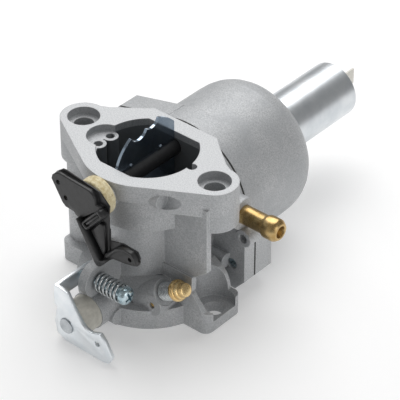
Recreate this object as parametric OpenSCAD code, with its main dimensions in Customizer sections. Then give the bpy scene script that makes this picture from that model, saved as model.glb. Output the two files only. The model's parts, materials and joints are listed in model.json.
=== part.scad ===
// Side-draught carburetor of a small ride-on mower engine, with a fuel-cut solenoid.
// The engine face lies on z = 0 and the bore runs up +Z to the air-cleaner face.
// The bolt holes lie on the X axis, the float bowl and the solenoid point along +Y,
// and the choke and throttle levers stand on the -Y side.

/* [Mounting] */
// Distance between the two mounting bolts
bolt_spacing = 57; // [52:0.5:70]
// Hole for a mounting bolt
bolt_hole_d = 7; // [5:0.1:8]
// Counterbore round each bolt hole on the air side
counterbore_d = 11; // [9:0.1:13]
// Depth of the counterbore
counterbore_depth = 3; // [1:0.5:5]
// Length of the body from the engine face to the air face
body_len = 56; // [52:0.5:72]
// Radius of the ear round each bolt
ear_r = 8; // [7:0.1:9]
// Depth of the ear bosses on the air side
ear_depth = 15; // [10:0.5:18]
// Thickness of the air flange
air_flange_t = 6.5; // [5:0.1:8]
// Thickness of the engine flange
engine_flange_t = 7.5; // [6:0.1:9]

/* [Air passage] */
// Bore of the choke chamber
choke_bore_d = 34; // [30:0.5:36]
// Bore where the throttle plate sits
throttle_bore_d = 26; // [20:0.5:28]
// Narrowest bore, at the venturi
venturi_d = 20; // [15:0.5:22]
// Wall round the air passage
bore_wall = 3.2; // [2.5:0.1:4]
// Height of the choke shaft below the air face
choke_drop = 6; // [5:0.1:8]
// Height of the throttle shaft above the engine face
throttle_rise = 6.7; // [6:0.1:10]

/* [Shafts and levers] */
// Diameter of the moulded choke shaft
choke_shaft_d = 6; // [5:0.1:7]
// Diameter of the steel throttle shaft
throttle_shaft_d = 6; // [5:0.1:8]
// Thickness of the choke plate
choke_plate_t = 1; // [0.6:0.1:1.5]
// Thickness of the throttle plate
throttle_plate_t = 1.2; // [0.8:0.1:2]
// Distance of the choke lever's plate from the bore axis
choke_lever_y = 27.6; // [27.6:0.1:34]
// Distance of the throttle lever's plate from the bore axis
throttle_lever_y = 41; // [39:0.1:44]
// Thickness of the throttle lever
throttle_lever_t = 1.5; // [1:0.1:2.5]

/* [Float bowl] */
// Outside radius of the bowl's dome
bowl_r = 25.7; // [24:0.1:30]
// Wall of the bowl
bowl_wall = 2.2; // [1.5:0.1:3.5]
// Distance from the bore axis to the bowl's joint face
bowl_joint_y = 18.8; // [18:0.1:22]
// Distance from the bore axis to the bowl's closed end
bowl_end_y = 60.5; // [56:0.5:72]
// Height of the bowl's axis above the engine face
bowl_z = 29.4; // [29:0.1:36]
// Thickness of the bowl gasket
gasket_t = 0.8; // [0.4:0.1:1.5]
// Outside radius of the float
float_r = 21; // [17:0.5:22]

/* [Solenoid] */
// Diameter of the solenoid's can
solenoid_d = 20.7; // [18:0.1:24]
// Length of the solenoid's can
solenoid_len = 39; // [30:0.5:50]
// Travel of the solenoid's plunger
plunger_travel = 2.5; // [1.5:0.1:3]

/* [Fuel inlet] */
// Outside diameter of the inlet tube
inlet_d = 6.6; // [5.5:0.1:7.5]
// Bore of the inlet tube
inlet_bore_d = 4; // [2.5:0.1:4.5]
// Reach of the inlet tube from the bore axis
inlet_reach = 44; // [42:0.5:56]
// Height of the inlet tube above the engine face
inlet_z = 34.5; // [33.5:0.1:38]
// Distance of the inlet tube from the bore axis
inlet_y = 15; // [14.4:0.1:15]

/* [Adjusting screws] */
// Thread diameter of the idle speed screw
speed_screw_d = 4; // [3:0.1:5]
// Height of the idle speed screw above the engine face
speed_screw_z = 18; // [16:0.1:20]
// Distance of the idle speed screw from the bore axis
speed_screw_y = 27; // [26:0.1:29]
// Thread diameter of the idle mixture screw
mixture_screw_d = 5; // [4:0.1:6]
// Angle of the idle mixture screw above the engine flange
mixture_tilt = 30; // [20:1:40]

/* [Hidden] */
$fn = 96;
eps = 0.02;                     // overlap that joins two touching forms of one solid
slip = 0.05;                    // radial clearance of a turning shaft
gap = 0.3;                      // clearance between pieces that move past each other

bolt_x = bolt_spacing / 2;
choke_r = choke_bore_d / 2;
throttle_r = throttle_bore_d / 2;
venturi_r = venturi_d / 2;
horn_r = choke_r + bore_wall;
waist_r = throttle_r + bore_wall;
rim_r = horn_r + 2;             // air flange round the mouth
choke_z = body_len - choke_drop;
throttle_z = throttle_rise;
mouth_front = -(choke_r - 1.3); // flats that cut the round mouth
mouth_rear = choke_r - 4;
horn_bottom = body_len - 19;    // where the wide horn steps in to the waist

bleed_x = -choke_r + 0.7;       // the two air bleeds beside the mouth
bleed_y = [-6.1, -0.3];

deck_y = bowl_joint_y - 5;      // engine-side face of the bowl flange
bowl_face = bowl_joint_y + gasket_t;
bowl_flange_t = 8.3;
bowl_rim_y = bowl_face + bowl_flange_t;
bowl_flange_r = bowl_r + 0.8;
lug_angle = 34;                 // bowl screws, from the bowl's axis
lug_x = (bowl_r + 4) * cos(lug_angle);
lug_dz = (bowl_r + 4) * sin(lug_angle);
bowl_screw_d = 4;

ear_side = ear_r + 1;           // half width of the engine flange's square ears
ear_end = bolt_x + 4.5;
ear_corner_r = 3;
engine_rim_r = waist_r + 8.3;

solenoid_r = solenoid_d / 2;
solenoid_nose_r = 6;
plunger_r = 2.4;
jet_y = bowl_end_y - 17;        // open end of the nozzle's pedestal
pedestal_r = 6;

seat_x = 11;                    // float needle and its seat
seat_z = inlet_z;
pin_x = seat_x + 6.5;           // float hinge
pin_y = bowl_face + 4.4;
pin_r = 0.8;
inlet_shank_r = inlet_d / 2 - 0.2; // end of the inlet tube pressed into the casting

bush_len = 8.6;
throttle_boss_r = 6.6;
throttle_boss_y = throttle_lever_y - bush_len - throttle_lever_t - 0.4;
tenon_r = throttle_shaft_d / 2 - 0.3; // end of the shaft, staked into the lever
tab_x = -3.6;                   // face of the throttle lever's tab that the speed screw meets
tab_t = 1.5;

lug_plate_x = 1.6;              // outer face of the lug that carries the speed screw
speed_head_x = lug_plate_x + 11.4;
speed_head_r = 3.2;
speed_spring_r = 3.5;

mixture_base = [18.4, -13.4, 14]; // where the mixture screw enters its boss
mixture_head = 6.2;             // from there to the screw's shoulder

choke_boss_y = 22.4;
seal_r = 6.85;
seal_t = 4.8;
peg_z = choke_z + choke_shaft_d / 2 + 0.85; // pegs that hold the choke plate in its slot

plug_x = 16.9;                  // plugged passage on the front of the lower body
plug_z = 10.1;
plug_y = -18;
drilling = [18.6, -14.2];       // blank end of a drilled passage in the air flange's front edge
drilling_z = body_len - 4.9;
drilling_r = 2.7;
channel_r = ear_r - 0.8;        // channel round the bolt on the right

// ---------- shared forms ----------

// Cylinder along +Y from y0 to y1
module along_y(r, y0, y1, x = 0, z = 0, r_end = undef) {
    translate([x, y0, z]) rotate([-90, 0, 0])
        cylinder(h = y1 - y0, r1 = r, r2 = is_undef(r_end) ? r : r_end);
}

// Cylinder along +X from x0 to x1
module along_x(r, x0, x1, y = 0, z = 0, r_end = undef) {
    translate([x0, y, z]) rotate([0, 90, 0])
        cylinder(h = x1 - x0, r1 = r, r2 = is_undef(r_end) ? r : r_end);
}

// Outline in the XZ plane, pulled from y0 to y1
module plate_y(points, y0, y1) {
    translate([0, y1, 0]) rotate([90, 0, 0]) linear_extrude(y1 - y0) polygon(points);
}

// Outline in the YZ plane, pulled from x0 to x1
module plate_x(points, x0, x1) {
    translate([x0, 0, 0]) rotate([90, 0, 90]) linear_extrude(x1 - x0) polygon(points);
}

// Angle from the X axis to the tangent points of two circles d apart
function tangent_angle(r1, r2, d) = acos((r1 - r2) / d);

// Web that joins a circle r1 at the origin to a circle r2 at distance d along +X
module tangent_web(r1, r2, d, z0, z1, sides = [-1, 1]) {
    a = tangent_angle(r1, r2, d);
    for (s = sides) translate([0, 0, z0]) linear_extrude(z1 - z0)
        polygon([[0, 0], [d, 0], [d + r2 * cos(a), s * r2 * sin(a)], [r1 * cos(a), s * r1 * sin(a)]]);
}

// The same form on both bolt sides
module both_ears() {
    children();
    mirror([1, 0, 0]) children();
}

// What lies on the engine side of the bowl's joint face
module ahead_of_joint() {
    intersection() {
        children();
        translate([-bolt_spacing, bowl_joint_y - 2 * bolt_spacing, -1])
            cube([2 * bolt_spacing, 2 * bolt_spacing, body_len + 2]);
    }
}

// Mouth of the choke chamber: a circle cut by two flats
module mouth(z0, z1, grow = 0) {
    intersection() {
        translate([0, 0, z0]) cylinder(h = z1 - z0, r = choke_r + grow);
        translate([-choke_r - 1, mouth_front - grow, z0 - 1])
            cube([choke_bore_d + 2, mouth_rear - mouth_front + 2 * grow, z1 - z0 + 2]);
    }
}

// Outline of the bowl's flange: a circle with two squared screw lugs
module bowl_outline(y0, y1) {
    along_y(bowl_flange_r, y0, y1, 0, bowl_z);
    translate([0, 0, bowl_z]) {
        plate_y([[12, -4.8], [lug_x + 5.4, -4.8], [lug_x + 5.4, -lug_dz - 5.4], [lug_x + 1.4, -lug_dz - 10],
            [9, -bowl_flange_r + 0.6], [0, -12]], y0, y1);
        plate_y([[-12, 4.8], [-lug_x - 5.4, 4.8], [-lug_x - 5.4, lug_dz + 3.6], [-9, bowl_flange_r - 1.2],
            [0, 12]], y0, y1);
    }
}

module bowl_screw_places() {
    for (s = [-1, 1]) translate([s * lug_x, 0, bowl_z - s * lug_dz]) children();
}

// ---------- body ----------

module air_flange() {
    top = body_len;
    difference() {
        union() {
            translate([0, 0, top - air_flange_t]) cylinder(h = air_flange_t, r = rim_r);
            both_ears() tangent_web(rim_r, ear_r, bolt_x, top - air_flange_t, top, [-1]);
            both_ears() translate([0, 0, top - air_flange_t]) linear_extrude(air_flange_t)
                polygon([[0, 0], [bolt_x, 0], [bolt_x + ear_r - 3, ear_r - 2.4],
                    [bolt_x - 3, ear_r + 1.4], [17.4, 15.6], [12.4, deck_y + 6], [0, deck_y + 6]]);
        }
        translate([-bolt_x, bowl_joint_y, 0]) cube([bolt_spacing, 20, top + 1]);
    }
    both_ears() translate([bolt_x, 0, top - ear_depth]) cylinder(h = ear_depth, r = ear_r);
    // the flange is thicker towards the right ear
    intersection() {
        tangent_web(rim_r, ear_r, bolt_x, top - air_flange_t - 2.5, top - air_flange_t + eps, [-1, 1]);
        translate([rim_r - 5, -rim_r, 0]) cube([bolt_x, rim_r + ear_r - 2, top]);
    }
}

module horn() {
    ahead_of_joint() translate([0, 0, horn_bottom]) cylinder(h = body_len - horn_bottom - 1, r = horn_r);
    cylinder(h = horn_bottom + 1, r = waist_r);
}

// Plan of the engine flange's two ears, with rounded corners
module ear_plan(h) {
    x = ear_end - ear_corner_r;
    y = ear_side - ear_corner_r;
    translate([-x, -ear_side, 0]) cube([2 * x, 2 * ear_side, h]);
    translate([-ear_end, -y, 0]) cube([2 * ear_end, 2 * y, h]);
    for (i = [-1, 1], j = [-1, 1]) translate([i * x, j * y, 0]) cylinder(h = h, r = ear_corner_r);
}

module engine_flange() {
    difference() {
        union() {
            cylinder(h = engine_flange_t, r = engine_rim_r);
            ear_plan(engine_flange_t);
        }
        translate([-engine_rim_r - 1, deck_y, -1]) cube([2 * engine_rim_r + 2, 20, engine_flange_t + 2]);
    }
}

// Column that carries the bolt down the left side
module left_column() {
    translate([-bolt_x, 0, 0]) cylinder(h = body_len - 1, r = ear_r - 1.7);
    translate([-bolt_x, -4, 0]) cube([bolt_x - 10, 9, body_len - 2]);
}

// Web on the right side, hollowed round the bolt by a channel with sloping lips
module bolt_channel() {
    top = engine_flange_t;
    intersection() {
        plate_y([[0, 0], [ear_end, 0], [ear_end, top], [ear_end - 2, top + 0.9], [ear_end - 3.4, top + 3.2],
            [ear_end - 6.4, top + 6.7], [ear_end - 9.2, top + 9], [ear_end - 13, top + 10], [0, top + 10]],
            -ear_side, 0);
        ear_plan(body_len);
    }
    // thin far lip
    plate_y([[0, 0], [bolt_x, 0], [bolt_x, top + 1], [bolt_x - 0.4, top + 3.4], [bolt_x - 1.6, top + 6],
        [bolt_x - 3.6, top + 8.2], [bolt_x - 7, top + 10], [0, top + 10]], -1, channel_r + 1.3);
}

// Stiffening wall between the right ear and the waist, with a rib below it
module side_wall() {
    top = body_len - 9;
    plate_y([[8, top + 3], [bolt_x + 3.8, top + 3], [bolt_x + 3.8, 25.5], [bolt_x - 1.4, 21.1],
        [8, 21.1]], -8.2, -4.8);
    translate([4, -9, 15.4]) cube([bolt_x - 5.9, 4.4, 5.7]);
}

module throttle_boss() {
    along_y(throttle_boss_r, -throttle_boss_y, 0, 0, throttle_z);
    along_x(2.9, 0, throttle_boss_r + 1, -throttle_boss_y + 6.5, throttle_z - 2.6);
}

module choke_boss() {
    along_y(choke_shaft_d / 2 + 2.4, -choke_boss_y, -10, 0, choke_z);
}

// Lug that carries the idle speed screw
module speed_lug() {
    z = speed_screw_z;
    r = 6;
    along_x(r, lug_plate_x - 3.4, lug_plate_x, -speed_screw_y, z);
    root_y = -throttle_boss_y + 0.2;
    plate_x([[root_y, throttle_z], [root_y, throttle_z + throttle_boss_r + 1.2], [-speed_screw_y - r, z],
        [-speed_screw_y, z], [-speed_screw_y, z + r], [-10, z + r + 6], [-10, throttle_z]],
        lug_plate_x - 3.4, lug_plate_x);
}

// Rounded block low on the front that carries the mixture screw and a plugged passage
module lower_block() {
    difference() {
        union() {
            along_x(7.2, 0, 17.5, -11, throttle_z + 2.6);
            along_y(4, plug_y, -9, plug_x, plug_z);
        }
        mixture_place() cylinder(h = 12, r = 4.8);
    }
    mixture_place() translate([0, 0, -11]) cylinder(h = 11, r1 = 5.4, r2 = 4.4);
}

module mixture_place() {
    translate(mixture_base) rotate([0, 90 - mixture_tilt, 0]) children();
}

module inlet_boss() {
    ahead_of_joint() along_x(inlet_d / 2 + 2.4, 8, bolt_x, inlet_y, inlet_z);
}

module bowl_deck() {
    bowl_outline(deck_y, bowl_joint_y);
    // bridge between the bore and the bowl's flange
    translate([-waist_r, 0, 3]) cube([2 * waist_r, bowl_joint_y - 1, bowl_z + bowl_flange_r - 8]);
}

// Fuel pedestal that reaches down the middle of the bowl
module pedestal() {
    along_y(pedestal_r, bowl_joint_y - 3, jet_y, 0, bowl_z);
    along_y(2.6, bowl_joint_y - 3, bowl_joint_y + 9, -11, bowl_z + 8);
    for (s = [-1, 1]) translate([pin_x - 1.8, bowl_joint_y - 3, seat_z + s * 5.4 - 1])
        cube([3.6, pin_y + 5 - bowl_joint_y, 2]);
}

module air_passage() {
    mouth(choke_z - 12.5, body_len + 1);
    rotate_extrude() polygon([[0, -1], [throttle_r, -1], [throttle_r, throttle_z + 7], [venturi_r, bowl_z - 3],
        [venturi_r, bowl_z + 2], [choke_r - 1.5, choke_z - 12.4], [0, choke_z - 12.4]]);
    // pocket of the air bleeds beside the mouth
    translate([-15.4, -3.7, body_len - 2.5]) cylinder(h = 4, r = 6.3);
}

module body() {
    color("#B9BBBD") difference() {
        union() {
            air_flange();
            horn();
            engine_flange();
            left_column();
            bolt_channel();
            side_wall();
            throttle_boss();
            choke_boss();
            speed_lug();
            lower_block();
            inlet_boss();
            bowl_deck();
            pedestal();
            along_x(drilling_r, 9, drilling[0], drilling[1], drilling_z);
            // pegs on the bowl side of the bolt gap
            along_x(2.6, 8, bolt_x - 5, deck_y - 1.6, engine_flange_t + 6.9);
            along_y(3.2, deck_y - 0.6, bowl_joint_y, lug_x + 5, bowl_z - 3.6);
        }
        difference() {
            air_passage();
            // bosses of the two air bleeds
            for (y = bleed_y) translate([bleed_x, y, choke_z - 13])
                cylinder(h = body_len - 2.5 - choke_z + 13, r = 2.7);
        }
        for (y = bleed_y) translate([bleed_x, y, choke_z - 6]) cylinder(h = 20, r = 1.5);
        translate([choke_r + 0.9, 1.2, body_len - 4]) cylinder(h = 5, r = 1.7);
        // bolt holes
        both_ears() {
            translate([bolt_x, 0, -1]) cylinder(h = body_len + 2, r = bolt_hole_d / 2);
            translate([bolt_x, 0, body_len - counterbore_depth])
                cylinder(h = counterbore_depth + 1, r = counterbore_d / 2);
        }
        translate([bolt_x, 0, 4]) cylinder(h = body_len - ear_depth - 4, r = channel_r);
        // shafts
        along_y(choke_shaft_d / 2 + slip, -choke_boss_y - 1, choke_r + 0.4, 0, choke_z);
        along_y(throttle_shaft_d / 2 + slip, -throttle_boss_y - 1, throttle_r + 2, 0, throttle_z);
        // screws
        along_x(speed_screw_d / 2 + slip, lug_plate_x - 5, lug_plate_x + 1, -speed_screw_y, speed_screw_z);
        mixture_place() translate([0, 0, -9]) cylinder(h = 10, r = mixture_screw_d / 2 + slip);
        along_y(0.5, mixture_base[1], -throttle_r / 2, mixture_base[0] - 7.5, mixture_base[2] - 4.3);
        bowl_screw_places() along_y(bowl_screw_d / 2, deck_y - 1, bowl_joint_y + 1);
        // fuel ways
        along_x(inlet_shank_r, bolt_x - 8, bolt_x + 1, inlet_y, inlet_z);
        // room for the tube beside the flange of a larger bowl
        along_x(inlet_d / 2 + 0.9, bolt_x, inlet_reach, inlet_y, inlet_z);
        along_x(inlet_bore_d / 2 - 0.6, seat_x - 1, bolt_x - 7, inlet_y, inlet_z);
        along_y(3, bowl_joint_y - 3, bowl_joint_y + 1, seat_x, seat_z);
        along_y(1, inlet_y, bowl_joint_y, seat_x, seat_z);
        along_y(2.2, 0, jet_y + 1, 0, bowl_z);
        along_y(1.3, bowl_joint_y - 4, bowl_joint_y + 10, -11, bowl_z + 8);
        translate([pin_x, pin_y, seat_z - 7]) cylinder(h = 14, r = pin_r);
        // plugged and blank holes
        along_x(2.6, throttle_boss_r, throttle_boss_r + 3, -20, throttle_z - 2.6);
        along_y(1.1, plug_y - 1, plug_y + 1.6, plug_x, plug_z);
        along_x(drilling_r, drilling[0], drilling[0] + 7, drilling[1], drilling_z);
        along_y(1.7, deck_y - 2, deck_y + 2, lug_x + 5, bowl_z - 3.6);
    }
}

// ---------- float bowl ----------

module bowl_gasket() {
    color("#3A3A38") difference() {
        bowl_outline(bowl_joint_y, bowl_face);
        along_y(bowl_r - bowl_wall - 1, bowl_joint_y - 1, bowl_face + 1, 0, bowl_z);
        bowl_screw_places() along_y(bowl_screw_d / 2 + gap, bowl_joint_y - 1, bowl_face + 1);
    }
}

// Half profile of the dome: a straight wall that rounds over to the solenoid's seat
function dome_profile(r, end_y, seat_r, start_y) = [
    for (t = [0:10:90]) [seat_r + (r - seat_r) * pow(cos(t), 0.77),
        start_y + (end_y - start_y) * pow(sin(t), 0.77)]];

module dome(r, end_y, seat_r, start_y, from_y) {
    translate([0, 0, bowl_z]) rotate([-90, 0, 0]) rotate_extrude()
        polygon(concat([[0, from_y], [r, from_y]], dome_profile(r, end_y, seat_r, start_y), [[0, end_y]]));
}

module float_bowl() {
    start_y = bowl_end_y - 14;
    color("#B4B6B8") difference() {
        union() {
            bowl_outline(bowl_face, bowl_rim_y);
            dome(bowl_r, bowl_end_y, solenoid_r + 0.8, start_y, bowl_rim_y - 1);
            along_y(solenoid_nose_r + 3, bowl_end_y - 6, bowl_end_y, 0, bowl_z);
        }
        difference() {
            dome(bowl_r - bowl_wall, bowl_end_y - bowl_wall, solenoid_r - 1, start_y, bowl_face - 1);
            along_y(solenoid_nose_r + 3, bowl_end_y - 6, bowl_end_y, 0, bowl_z);
        }
        along_y(solenoid_nose_r, bowl_end_y - 7, bowl_end_y + 1, 0, bowl_z);
        bowl_screw_places() {
            along_y(bowl_screw_d / 2 + gap, bowl_face - 1, bowl_rim_y + 1);
        }
    }
}

module bowl_screws() {
    color("#C9CCD0") bowl_screw_places() {
        along_y(bowl_screw_d / 2, deck_y + 0.5, bowl_rim_y + 0.5);
        difference() {
            along_y(3.6, bowl_rim_y, bowl_rim_y + 2.4, r_end = 2.9);
            for (turn = [0, 90]) rotate([0, turn, 0])
                translate([-2, bowl_rim_y + 1.2, -0.45]) cube([4, 3, 0.9]);
        }
    }
}

// ---------- fuel-cut solenoid ----------

module solenoid_washer() {
    color("#B5863F") difference() {
        along_y(solenoid_nose_r + 3.2, bowl_end_y, bowl_end_y + 0.8, 0, bowl_z);
        along_y(solenoid_nose_r + gap, bowl_end_y - 1, bowl_end_y + 2, 0, bowl_z);
    }
}

module solenoid_can() {
    y0 = bowl_end_y + 0.8;
    color("#C6CDD4") difference() {
        union() {
            along_y(solenoid_r, y0 + 0.8, y0 + solenoid_len - 0.8, 0, bowl_z);
            along_y(solenoid_r - 0.8, y0, y0 + 0.8, 0, bowl_z, solenoid_r);
            along_y(solenoid_r, y0 + solenoid_len - 0.8, y0 + solenoid_len, 0, bowl_z, solenoid_r - 0.8);
            along_y(solenoid_nose_r, bowl_end_y - 7.5, y0 + 1, 0, bowl_z);
        }
        along_y(plunger_r + slip, bowl_end_y - 9, y0 + 16, 0, bowl_z);
        along_y(3.4, y0 + 10, y0 + 24, 0, bowl_z);
        along_y(solenoid_r - 3, y0 + solenoid_len - 2, y0 + solenoid_len + 1, 0, bowl_z);
    }
}

module solenoid_plunger() {
    y0 = jet_y + 3 + plunger_travel;
    color("#8E959B") {
        along_y(0.4, y0, y0 + 2.4, 0, bowl_z, plunger_r);
        along_y(plunger_r, y0 + 2.4 - eps, bowl_end_y + 14, 0, bowl_z);
    }
}

module solenoid_spring() {
    color("#9AA0A4") difference() {
        along_y(3.2, bowl_end_y + 14 + 0.05, bowl_end_y + 24.8, 0, bowl_z);
        along_y(2.2, bowl_end_y + 13, bowl_end_y + 26, 0, bowl_z);
    }
}

module solenoid_terminal() {
    y0 = bowl_end_y + solenoid_len - 1.2;
    color("#E8E6DF") {
        along_y(solenoid_r - 3.1, y0, y0 + 3, 0, bowl_z);
        along_y(3.4, y0 + 3 - eps, y0 + 6, 0, bowl_z);
    }
    color("#C9CCD0") translate([-0.4, y0 + 5, bowl_z - 3]) cube([0.8, 8, 6]);
}

// ---------- fuel metering ----------

module main_nozzle() {
    color("#C79C4B") difference() {
        union() {
            along_y(2.2, 4, jet_y - 5, 0, bowl_z);
            along_y(1.7, -2, 4 + eps, 0, bowl_z);
        }
        along_y(1.1, -3, jet_y, 0, bowl_z);
        for (y = [16:4:jet_y - 8]) translate([0, y, bowl_z - 3]) cylinder(h = 6, r = 0.4);
    }
}

module main_jet() {
    color("#D2A654") difference() {
        union() {
            along_y(2.2, jet_y - 4.5, jet_y, 0, bowl_z);
            along_y(3.2, jet_y, jet_y + 1.8, 0, bowl_z);
        }
        along_y(0.55, jet_y - 6, jet_y + 3, 0, bowl_z);
        along_y(1.1, jet_y + 1, jet_y + 3, 0, bowl_z, 2);
        translate([-4, jet_y + 1.2, bowl_z - 0.4]) cube([8, 2, 0.8]);
    }
}

module pilot_jet() {
    color("#D2A654") translate([-11, 0, bowl_z + 8]) difference() {
        union() {
            along_y(1.3, bowl_joint_y + 3, bowl_joint_y + 9);
            along_y(2.1, bowl_joint_y + 9, bowl_joint_y + 10.4);
        }
        along_y(0.4, bowl_joint_y + 2, bowl_joint_y + 12);
        translate([-3, bowl_joint_y + 9.8, -0.3]) cube([6, 2, 0.6]);
    }
}

module float() {
    y0 = bowl_face + 9.5;
    color("#2E2F30") difference() {
        union() {
            along_y(float_r, y0, y0 + 11, 0, bowl_z);
            // hinge arm
            translate([seat_x - 3, pin_y - 1.6, seat_z - 4]) cube([pin_x - seat_x + 4.6, 3.2, 8]);
            translate([seat_x - 3, pin_y + 1.5, seat_z - 4]) cube([5.4, y0 - pin_y, 8]);
        }
        along_y(pedestal_r + 3.2, y0 - 1, y0 + 12, 0, bowl_z);
        translate([-float_r - 1, y0 - 1, bowl_z - pedestal_r - 2.4])
            cube([float_r, 13, 2 * pedestal_r + 6.8]);
        translate([pin_x, pin_y, seat_z - 5]) cylinder(h = 10, r = pin_r + slip);
    }
}

module float_pin() {
    color("#C4C8CC") translate([pin_x, pin_y, seat_z - 6.4]) cylinder(h = 12.8, r = pin_r);
}

module needle_seat() {
    color("#C79C4B") difference() {
        along_y(3, bowl_joint_y - 3, bowl_joint_y + 0.2, seat_x, seat_z);
        along_y(1, bowl_joint_y - 4, bowl_joint_y + 1, seat_x, seat_z);
        along_y(1, bowl_joint_y - 1.2, bowl_joint_y + 0.3, seat_x, seat_z, 2);
    }
}

module float_needle() {
    y0 = bowl_joint_y - 0.4;
    color("#8C8F92") {
        along_y(0.5, y0, y0 + 1.4, seat_x, seat_z, 1.5);
        along_y(1.5, y0 + 1.4 - eps, pin_y - 1.65, seat_x, seat_z);
    }
}

module inlet_tube() {
    barb = inlet_d / 2 + 0.7;
    color("#C9A24E") difference() {
        union() {
            along_x(inlet_shank_r, bolt_x - 8, bolt_x + eps, inlet_y, inlet_z);
            along_x(inlet_d / 2, bolt_x, inlet_reach - 3, inlet_y, inlet_z);
            along_x(inlet_d / 2, inlet_reach - 6.6, inlet_reach - 5.4, inlet_y, inlet_z, barb);
            along_x(barb, inlet_reach - 5.4 - eps, inlet_reach - 1.2, inlet_y, inlet_z);
            along_x(barb, inlet_reach - 1.2 - eps, inlet_reach, inlet_y, inlet_z, barb - 1);
        }
        along_x(inlet_bore_d / 2, bolt_x - 9, inlet_reach + 1, inlet_y, inlet_z);
    }
}

// ---------- choke ----------

module choke_shaft() {
    y = choke_lever_y;
    z = choke_z;
    t = 2;
    rib = 2;                    // height of the lever's ribs above its plate
    color("#3D3F41") {
        difference() {
            along_y(choke_shaft_d / 2, -y, choke_r - 0.4, 0, z);
            // slot that holds the plate
            translate([-choke_plate_t / 2, mouth_front - 0.3, z - 10])
                cube([choke_plate_t, mouth_rear - mouth_front, 20]);
        }
        translate([0, 0, z]) difference() {
            union() {
                // head with the two link holes
                plate_y([[-15.4, 2.5], [-14.2, 5.2], [-11.4, 7.4], [-9.8, 7.6], [4.6, 5.6], [8.7, 1.9], [8.2, -2.6],
                    [6.4, -5], [-1.4, -8.4], [-5, -7.9], [-7.6, -5.6], [-10.8, -4.9], [-13, -1.3]], -y - t, -y);
                // floor of the long arm
                plate_y([[-1.4, -8.4], [6.4, -3.6], [8.7, -8], [8.7, -14], [5.1, -23], [3.4, -22.6]], -y - t, -y);
                // lower side arm
                plate_y([[5.4, -16], [8.7, -11.6], [14.2, -10.1], [20.4, -10.4], [21.4, -12.6], [21, -14.4],
                    [16.3, -17], [10.6, -17], [5.4, -22.6]], -y - t, -y);
                // ribs along the arm and the clip bar across it
                plate_y([[-1.8, -8.4], [-0.4, -8], [6, -22], [5.1, -23.2], [3, -22.4]], -y - t - rib, -y);
                plate_y([[6.6, -7], [8.7, -7], [8.7, -14], [7.4, -14]], -y - t - rib, -y);
                plate_y([[-1.8, -8.6], [-0.6, -5.6], [5.4, -1.2], [6.8, -3.8], [0, -8.8]], -y - t - rib, -y);
                along_y(choke_shaft_d / 2 + 2, -y, -choke_boss_y - seal_t - 0.1);
            }
            for (p = [[-12.2, 2.6], [-9.1, -2.1]]) along_y(0.9, -y - t - 1, -y + 1, p[0], p[1]);
            along_y(0.8, -y - t - 1, -y + 1, 18.3, -13.6);
        }
    }
}

module choke_seal() {
    color("#DCCFA8") difference() {
        along_y(seal_r, -choke_boss_y - seal_t, -choke_boss_y - 0.1, 0, choke_z);
        along_y(choke_shaft_d / 2 + slip, -choke_boss_y - seal_t - 1, -choke_boss_y + 1, 0, choke_z);
    }
}

module choke_plate() {
    r = choke_r - 0.8;
    color("#AEB9C4") {
        for (y = [mouth_front + 6.9, mouth_rear - 7.4])
            along_x(0.75, choke_plate_t / 2 - eps, choke_plate_t / 2 + 0.5, y, peg_z, 0.4);
        difference() {
            intersection() {
                translate([-choke_plate_t / 2, 0, choke_z]) rotate([0, 90, 0]) cylinder(h = choke_plate_t, r = r);
                translate([-2, mouth_front + 0.5, choke_z - r - 1])
                    cube([4, mouth_rear - mouth_front - 1, 2 * r + 2]);
            }
            // notch that clears the air bleeds when the choke is shut
            for (p = [[-4.5, 0.6, 4.2], [1.6, -0.4, 3.6]])
                translate([-2, p[0], choke_z + r - p[1]]) rotate([0, 90, 0]) cylinder(h = 4, r = p[2]);
        }
    }
}

// ---------- throttle ----------

module throttle_shaft() {
    color("#B9BEC2") difference() {
        union() {
            along_y(throttle_shaft_d / 2, -throttle_lever_y + throttle_lever_t, throttle_r + 1.6, 0, throttle_z);
            along_y(tenon_r, -throttle_lever_y - 0.3, -throttle_r - 1, 0, throttle_z);
        }
        // slot that holds the plate
        translate([-10, -throttle_r + 0.1, throttle_z - throttle_plate_t / 2])
            cube([20, throttle_bore_d - 0.2, throttle_plate_t]);
        for (y = [-5, 5]) translate([0, y, throttle_z - 5]) cylinder(h = 10, r = 1.1);
    }
}

module throttle_plate() {
    color("#C6A15A") difference() {
        translate([0, 0, throttle_z - throttle_plate_t / 2])
            cylinder(h = throttle_plate_t, r = throttle_r - 0.12);
        for (y = [-5, 5]) translate([0, y, throttle_z - 5]) cylinder(h = 10, r = 1.1);
    }
}

module throttle_screws() {
    color("#C9CCD0") for (y = [-5, 5]) {
        translate([0, y, throttle_z - 3.2]) cylinder(h = 3.3 + throttle_shaft_d / 2, r = 1.1);
        translate([0, y, throttle_z + throttle_shaft_d / 2]) cylinder(h = 1.4, r1 = 2, r2 = 1.6);
    }
}

module throttle_bush() {
    color("#C9C4B8") difference() {
        along_y(throttle_boss_r - 0.4, -throttle_boss_y - bush_len, -throttle_boss_y, 0, throttle_z);
        along_y(throttle_shaft_d / 2 + slip, -throttle_boss_y - bush_len - 1, -throttle_boss_y + 1, 0, throttle_z);
    }
}

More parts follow.
